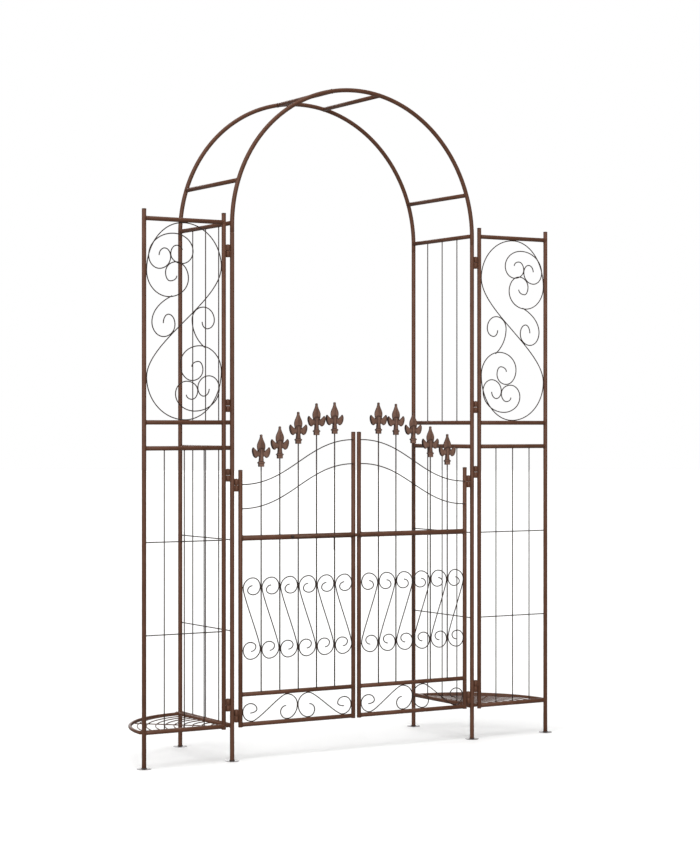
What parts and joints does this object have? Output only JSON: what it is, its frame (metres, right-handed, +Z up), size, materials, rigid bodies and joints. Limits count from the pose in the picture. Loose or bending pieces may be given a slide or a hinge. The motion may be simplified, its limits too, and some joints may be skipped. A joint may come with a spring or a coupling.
{
  "type": "garden trellis arch",
  "caption": "Free-standing garden trellis arch of painted steel tube with a double gate, a slide bolt, scrolled side wings and corner planter shelves.",
  "frame": {"origin": "on the floor, under the middle of the whole object", "axes": "+Z up, +X to the right along the gate, +Y from the gate to the back; the gate, wings and front hoop lie in the plane y = -0.182 m"},
  "size_m": [1.592, 0.41, 2.177],
  "materials": {
    "tube_paint": "satin brown powder coat on round tube",
    "wire_paint": "satin dark brown powder coat on round wire",
    "cast_paint": "satin brown paint on slightly rough castings",
    "bolt_paint": "dark brown paint, worn where it slides"
  },
  "bodies": {
    "root": {"front_left_post": "tube_paint", "rear_left_post": "tube_paint", "front_right_post": "tube_paint", "rear_right_post": "tube_paint", "front_hoop": "tube_paint", "rear_hoop": "tube_paint", "left_low_hoop_rung": "tube_paint", "left_high_hoop_rung": "tube_paint", "right_low_hoop_rung": "tube_paint", "right_high_hoop_rung": "tube_paint", "left_ladder_upper_screen": "tube_paint", "left_ladder_lower_screen": "tube_paint", "right_ladder_upper_screen": "tube_paint", "right_ladder_lower_screen": "tube_paint", "left_wing_outer_post": "tube_paint", "left_wing_inner_post": "tube_paint", "left_wing_scroll_panel": "wire_paint", "left_wing_lower_screen": "tube_paint", "left_wing_coupler_1": "tube_paint", "left_wing_coupler_2": "tube_paint", "left_wing_coupler_3": "tube_paint", "left_wing_coupler_4": "tube_paint", "left_shelf_rim": "tube_paint", "left_shelf_wires": "wire_paint", "left_gate_pintle_1": "tube_paint", "left_gate_pintle_2": "tube_paint", "right_wing_outer_post": "tube_paint", "right_wing_inner_post": "tube_paint", "right_wing_scroll_panel": "wire_paint", "right_wing_lower_screen": "tube_paint", "right_wing_coupler_1": "tube_paint", "right_wing_coupler_2": "tube_paint", "right_wing_coupler_3": "tube_paint", "right_wing_coupler_4": "tube_paint", "right_shelf_rim": "tube_paint", "right_shelf_wires": "wire_paint", "right_gate_pintle_1": "tube_paint", "right_gate_pintle_2": "tube_paint"},
    "left_gate": {"left_gate_hinge_stile": "tube_paint", "left_gate_meeting_stile": "tube_paint", "left_gate_mid_rail": "tube_paint", "left_gate_picket_screen": "wire_paint", "left_gate_bottom_panel": "tube_paint", "left_gate_spear_1": "cast_paint", "left_gate_spear_2": "cast_paint", "left_gate_spear_3": "cast_paint", "left_gate_spear_4": "cast_paint", "left_gate_spear_5": "cast_paint"},
    "right_gate": {"right_gate_hinge_stile": "tube_paint", "right_gate_meeting_stile": "tube_paint", "right_gate_mid_rail": "tube_paint", "right_gate_picket_screen": "wire_paint", "right_gate_bottom_panel": "tube_paint", "right_gate_spear_1": "cast_paint", "right_gate_spear_2": "cast_paint", "right_gate_spear_3": "cast_paint", "right_gate_spear_4": "cast_paint", "right_gate_spear_5": "cast_paint", "bolt_keeper_sleeve": "tube_paint"},
    "latch": {"slide_bolt": "bolt_paint"}
  },
  "joints": [
    {"name": "left_gate_hinge", "type": "hinge", "parent": "root", "child": "left_gate", "pos_m": [-0.448, -0.182, 0.5], "axis": [0, 0, -1], "range_deg": [-85, 100]},
    {"name": "right_gate_hinge", "type": "hinge", "parent": "root", "child": "right_gate", "pos_m": [0.448, -0.182, 0.5], "axis": [0, 0, 1], "range_deg": [-85, 100]},
    {"name": "bolt_slide", "type": "slide", "parent": "left_gate", "child": "latch", "axis": [1, 0, 0], "range_m": [0, 0.062]}
  ]
}
